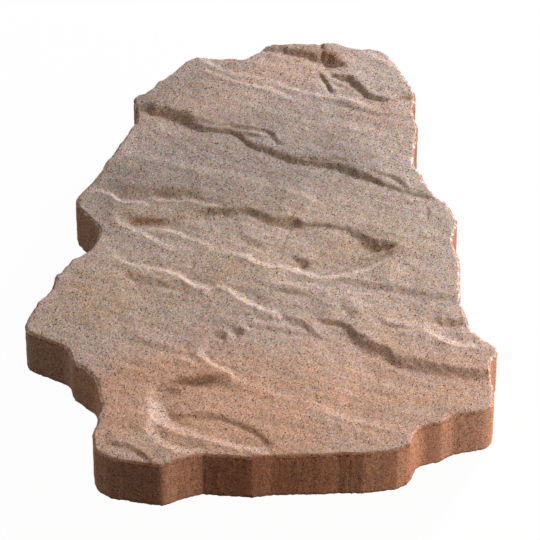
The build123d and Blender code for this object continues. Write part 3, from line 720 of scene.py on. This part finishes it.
def blendedConcrete():
    material = bpy.data.materials.new("blendedConcrete")
    material.use_nodes = True
    n = Nodes(material.node_tree)
    n.tree.nodes.clear()
    place = n.add("ShaderNodeTexCoord").outputs["Object"]
    share = {name: n.add("ShaderNodeAttribute", attribute_name=name + "Share").outputs["Fac"]
             for name in ("grey", "pink", "ochre", "rustAndShade", "paintedHighlight", "wall", "crumb", "groove")}
    # painted highlight on the ridge slopes and where the ground faces the key lamp
    share["paintedHighlight"] = n.math("MULTIPLY", share["paintedHighlight"], concrete["paintedHighlightStrength"])
    colour = linear(concrete["body"])
    # the pigments; the rust one is also painted shade on the ledges, and the palest one is painted highlight
    # on the ridges
    for tone in ("grey", "ochre", "pink", "rustAndShade", "paintedHighlight", "wall"):
        colour = n.mixColour(colour, linear(concrete[tone + "Pigment"]), share[tone])
    crumbs = n.math("MULTIPLY", share["crumb"], concrete["crumbStrength"])
    colour = n.mixColour(colour, linear(concrete["paleGrain"]), crumbs)

    # streaks along the bedding and clouding of the mix, then the sand, then the larger grains
    turn = (0, 0, -math.radians(slab["beddingAngle"]))
    laid = n.add("ShaderNodeMapping", {0: place, 2: turn, 3: (0.16, 1, 1)})
    streak = n.add("ShaderNodeTexNoise", {"Vector": laid.outputs[0], "Scale": 110.0, "Detail": 3.0})
    colour = n.tint(colour, n.ramp(streak.outputs[0], [(0.3, 0.92), (0.7, 1.08)]))
    cloud = n.add("ShaderNodeTexNoise", {"Vector": place, "Scale": 150.0, "Detail": 5.0, "Roughness": 0.65})
    colour = n.tint(colour, n.ramp(cloud.outputs[0], [(0.3, 0.95), (0.7, 1.06)]))
    cells = n.add("ShaderNodeTexVoronoi", {"Vector": place, "Scale": 1.0 / (concrete["sandSize"] * mm)})
    pick = n.add("ShaderNodeSeparateColor", {0: cells.outputs["Color"]})
    low, high = 1.03 - concrete["sandContrast"], 1.03 + concrete["sandContrast"]
    light = n.ramp(pick.outputs[0], [(0.0, (1.06 * low, low, 0.92 * low, 1)),
                                     (1.0, (0.96 * high, high, 1.06 * high, 1))])
    colour = n.tint(colour, light)
    # the grains differ from yellow to blue and, apart from that, from green to red, singly and in drifts
    drift = n.add("ShaderNodeTexNoise", {"Vector": place, "Scale": 230.0, "Detail": 3.0, "Roughness": 0.6})
    drift = n.add("ShaderNodeSeparateColor", {0: drift.outputs["Color"]})
    strength = n.math("MULTIPLY_ADD", share["pink"], -0.4, 1.0, clamp=True)
    for value, least, most, first, last in (
            (pick.outputs[1], 0.0, 1.0, (0.95, 0.96, 1.27, 1), (1.08, 1.03, 0.7, 1)),
            (pick.outputs[2], 0.0, 1.0, (0.85, 1.08, 1.0, 1), (1.16, 0.93, 0.99, 1)),
            (drift.outputs[1], 0.3, 0.7, (0.97, 0.99, 1.11, 1), (1.03, 1.01, 0.87, 1)),
            (drift.outputs[2], 0.3, 0.7, (0.94, 1.03, 1.0, 1), (1.06, 0.975, 0.99, 1))):
        colour = n.tint(colour, n.ramp(value, [(least, first), (most, last)]), strength)
    fine = n.add("ShaderNodeTexNoise", {"Vector": place, "Scale": 700.0, "Detail": 0.0})
    colour = n.tint(colour, n.ramp(fine.outputs[0], [(0.25, 0.84), (0.75, 1.16)]))
    for tone, (amount, size, onFace, onWall, shift) in concrete["specks"].items():
        spot = specks(n, place, concrete["speckSpacing"], amount, size, shift)
        fade = n.math("MULTIPLY_ADD", share["wall"], onWall - onFace, onFace)
        if tone == "blueGrain":
            fade = n.math("MULTIPLY", fade, n.math("MULTIPLY_ADD", share["pink"], -0.6, 1.0, clamp=True))
        colour = n.mixColour(colour, linear(concrete[tone]), n.math("MULTIPLY", spot, fade))
    pores = n.add("ShaderNodeTexNoise", {"Vector": place, "Scale": 620.0, "Detail": 2.0})
    colour = n.tint(colour, n.ramp(pores.outputs[0], [(0.32, 0.55), (0.42, 0.95), (0.7, 1.15)]), share["wall"])
    # painted shade in the groove under the rim and on the rear right walls
    colour = n.tint(colour, n.math("MULTIPLY_ADD", share["groove"], -concrete["grooveShade"], 1.0))

    grit = n.add("ShaderNodeTexNoise", {"Vector": place, "Scale": 850.0, "Detail": 3.0, "Roughness": 0.65})
    rough = n.math("MULTIPLY_ADD", share["wall"], concrete["wallBump"], concrete["bump"])
    bump = n.add("ShaderNodeBump", {"Strength": rough, "Distance": 0.0006, "Height": grit.outputs[0]})
    shader = n.add("ShaderNodeBsdfPrincipled", {
        "Base Color": colour, "Roughness": concrete["roughness"], "Normal": bump.outputs[0],
        "Specular IOR Level": 0.06})
    n.add("ShaderNodeOutputMaterial", {"Surface": shader.outputs[0]})
    return material


pavingSlab = castSlab()
pavingSlab.data.materials.append(blendedConcrete())
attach(pavingSlab, "root")
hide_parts("paving_slab")
print("slab cast")

# Coarse grains of sand standing half out of the walking face. Lengths in mm.
sand = {
    "grainsPerSquareMetre": 46000.0,
    "smallest": 0.35,
    "largest": 0.7,
    "sunk": 0.45,             # share of the grain's radius that its middle lies under the face
    "seed": 7,
    "tones": ((0.0, "darkGrain"), (0.45, "blueGrain"), (0.62, "rustGrain"), (0.85, "paleGrain")),
}


def grainTone():
    material = bpy.data.materials.new("sandGrain")
    material.use_nodes = True
    n = Nodes(material.node_tree)
    n.tree.nodes.clear()
    pick = n.add("ShaderNodeAttribute", attribute_name="grainTone").outputs["Fac"]
    tone = n.ramp(pick, [(at, linear(concrete[name])) for at, name in sand["tones"]])
    tone.node.color_ramp.interpolation = "CONSTANT"
    shader = n.add("ShaderNodeBsdfPrincipled", {
        "Base Color": tone, "Roughness": 0.8, "Specular IOR Level": 0.1})
    n.add("ShaderNodeOutputMaterial", {"Surface": shader.outputs[0]})
    return material


# grains strewn over the upward faces of a mesh
def grainTree(material):
    tree = bpy.data.node_groups.new("strewSand", "GeometryNodeTree")
    face = tree.interface
    for name, kind in (("Geometry", "Geometry"), ("Density", "Float"), ("Smallest", "Float"),
                       ("Largest", "Float"), ("Sunk", "Float"), ("Seed", "Int")):
        face.new_socket(name, in_out="INPUT", socket_type="NodeSocket" + kind)
    face.new_socket("Geometry", in_out="OUTPUT", socket_type="NodeSocketGeometry")
    n = Nodes(tree)
    given = n.add("NodeGroupInput").outputs
    normal = n.add("GeometryNodeInputNormal").outputs[0]
    upward = n.add("ShaderNodeSeparateXYZ", {0: normal}).outputs[2]
    level = n.math("GREATER_THAN", upward, 0.88)
    strewn = n.add("GeometryNodeDistributePointsOnFaces", {
        "Mesh": given["Geometry"], "Selection": level, "Density": given["Density"], "Seed": given["Seed"]})
    size = n.add("FunctionNodeRandomValue", {
        2: given["Smallest"], 3: given["Largest"], 8: given["Seed"]}).outputs[1]
    down = n.math("MULTIPLY", n.math("MULTIPLY", size, given["Sunk"]), -1.0)
    shift = n.add("ShaderNodeVectorMath", {0: strewn.outputs["Normal"], 3: down}, operation="SCALE").outputs[0]
    sunken = n.add("GeometryNodeSetPosition", {"Geometry": strewn.outputs["Points"], "Offset": shift})
    grain = n.add("GeometryNodeMeshIcoSphere", {"Radius": 1.0, "Subdivisions": 1})
    turn = n.add("FunctionNodeRandomValue", {
        0: (0, 0, 0), 1: (6.28, 6.28, 6.28), 8: 3}, data_type="FLOAT_VECTOR").outputs[0]
    laid = n.add("GeometryNodeInstanceOnPoints", {
        "Points": sunken.outputs[0], "Instance": grain.outputs["Mesh"], "Rotation": turn, "Scale": size})
    pick = n.add("FunctionNodeRandomValue", {2: 0.0, 3: 1.0, 8: 11}).outputs[1]
    toned = n.add("GeometryNodeStoreNamedAttribute", {
        "Geometry": laid.outputs[0], "Name": "grainTone", "Value": pick}, data_type="FLOAT", domain="INSTANCE")
    real = n.add("GeometryNodeRealizeInstances", {"Geometry": toned.outputs[0]})
    done = n.add("GeometryNodeSetMaterial", {"Geometry": real.outputs[0], "Material": material})
    n.add("NodeGroupOutput", {0: done.outputs[0]})
    return tree


def strewSand(over):
    piece = bpy.data.objects.new("sandGrains", over.data)
    bpy.context.scene.collection.objects.link(piece)
    strew = piece.modifiers.new("strewSand", "NODES")
    material = grainTone()
    strew.node_group = grainTree(material)
    wanted = {"Density": sand["grainsPerSquareMetre"], "Smallest": sand["smallest"] * mm,
              "Largest": sand["largest"] * mm, "Sunk": sand["sunk"], "Seed": sand["seed"]}
    for socket in strew.node_group.interface.items_tree:
        if socket.name in wanted:
            strew[socket.identifier] = wanted[socket.name]
    evaluated = piece.evaluated_get(bpy.context.evaluated_depsgraph_get())
    grains = bpy.data.meshes.new_from_object(evaluated)
    piece.modifiers.remove(strew)
    piece.data = grains
    print("sand", len(grains.polygons), "faces")
    return piece


sandGrains = strewSand(pavingSlab)
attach(sandGrains, "root")
print("sand strewn")

# Floor, lamps and camera. Angles in degrees, lengths in mm. A lamp's light is what it gives a surface
# that faces it, where 1 shows a colour as it is written.
studio = {
    "floorSize": 30000,
    "floorWhite": 0.97,       # share of plain white in the floor that the camera sees
    "floorBounce": 0.13,      # what the floor throws back on the slab
    "floorTone": 0.85,        # grey of the floor that the shadow falls on
    "key": {"heading": 132, "height": 24.5, "distance": 2400, "size": 340,
            "light": 1.38, "tint": (0.95, 1.0, 1.08)},
    "fill": {"heading": 60, "height": 10, "distance": 1600, "size": 480,
             "light": 1.09, "tint": (1.0, 0.95, 0.88)},
    "side": {"heading": -100, "height": 25, "distance": 2600, "size": 1500,
             "light": 0.21, "tint": (1.0, 0.92, 0.84)},
    "sky": 0.2,
    "skyTint": (1.0, 0.85, 0.7, 1),
    "aim": (25.4, 24.9, 60.0),
    "cameraHeading": -12.0,
    "cameraHeight": 49.0,
    "cameraDistance": 5161.0,
    "lens": 373.3,
}


def aimFrom(heading, height):
    h, e = math.radians(heading), math.radians(height)
    return Vector((math.cos(e) * math.cos(h), math.cos(e) * math.sin(h), math.sin(e)))


def addSoftbox(name):
    box = studio[name]
    away = aimFrom(box["heading"], box["height"])
    lamp = bpy.data.lights.new(name, "AREA")
    lamp.size, lamp.color = box["size"] * mm, box["tint"]
    lamp.energy = box["light"] * (math.pi * box["distance"] * mm) ** 2
    holder = bpy.data.objects.new(name, lamp)
    holder.location = away * box["distance"] * mm
    holder.rotation_euler = away.to_track_quat("Z", "Y").to_euler()
    holder.visible_camera = False
    bpy.context.scene.collection.objects.link(holder)


# 1 where the camera sees a surface, straight or in gloss or glass
def seenByCamera(n):
    path = n.add("ShaderNodeLightPath")
    seen = n.math("ADD", path.outputs["Is Camera Ray"], path.outputs["Is Glossy Ray"], clamp=True)
    return n.math("ADD", seen, path.outputs["Is Transmission Ray"], clamp=True)


def paleFloor():
    half, under = studio["floorSize"] / 2 * mm, -0.0004
    mesh = bpy.data.meshes.new("floor")
    corners = [(-half, -half, under), (half, -half, under), (half, half, under), (-half, half, under)]
    mesh.from_pydata(corners, [], [(0, 1, 2, 3)])
    floor = bpy.data.objects.new("floor", mesh)
    bpy.context.scene.collection.objects.link(floor)
    material = bpy.data.materials.new("paleFloor")
    material.use_nodes = True
    n = Nodes(material.node_tree)
    n.tree.nodes.clear()
    seen = seenByCamera(n)
    bounce, grey = studio["floorBounce"], studio["floorTone"]
    tone = n.mixColour((bounce, bounce, bounce, 1), (grey, grey, grey, 1), seen)
    lit = n.add("ShaderNodeBsdfDiffuse", {"Color": tone})
    white = n.add("ShaderNodeEmission", {"Color": (1, 1, 1, 1), "Strength": 1.0})
    share = n.math("MULTIPLY", seen, studio["floorWhite"])
    mix = n.add("ShaderNodeMixShader", {0: share, 1: lit.outputs[0], 2: white.outputs[0]})
    n.add("ShaderNodeOutputMaterial", {"Surface": mix.outputs[0]})
    mesh.materials.append(material)


def setSky():
    world = bpy.data.worlds.new("studioSky")
    world.use_nodes = True
    n = Nodes(world.node_tree)
    n.tree.nodes.clear()
    soft = n.add("ShaderNodeBackground", {"Color": studio["skyTint"], "Strength": studio["sky"]})
    white = n.add("ShaderNodeBackground", {"Color": (1, 1, 1, 1), "Strength": 1.0})
    mix = n.add("ShaderNodeMixShader", {0: seenByCamera(n), 1: soft.outputs[0], 2: white.outputs[0]})
    n.add("ShaderNodeOutputWorld", {"Surface": mix.outputs[0]})
    bpy.context.scene.world = world


def setCamera():
    lens = bpy.data.cameras.new("photoCamera")
    lens.lens, lens.sensor_width = studio["lens"], 36.0
    lens.clip_end = 100.0
    camera = bpy.data.objects.new("photoCamera", lens)
    away = aimFrom(studio["cameraHeading"], studio["cameraHeight"])
    camera.location = (Vector(studio["aim"]) + away * studio["cameraDistance"]) * mm
    camera.rotation_euler = away.to_track_quat("Z", "Y").to_euler()
    bpy.context.scene.collection.objects.link(camera)
    bpy.context.scene.camera = camera


paleFloor()
setSky()
for name in ("key", "fill", "side"):
    addSoftbox(name)
setCamera()
bpy.context.scene.view_settings.view_transform = "Standard"
print("studio set")
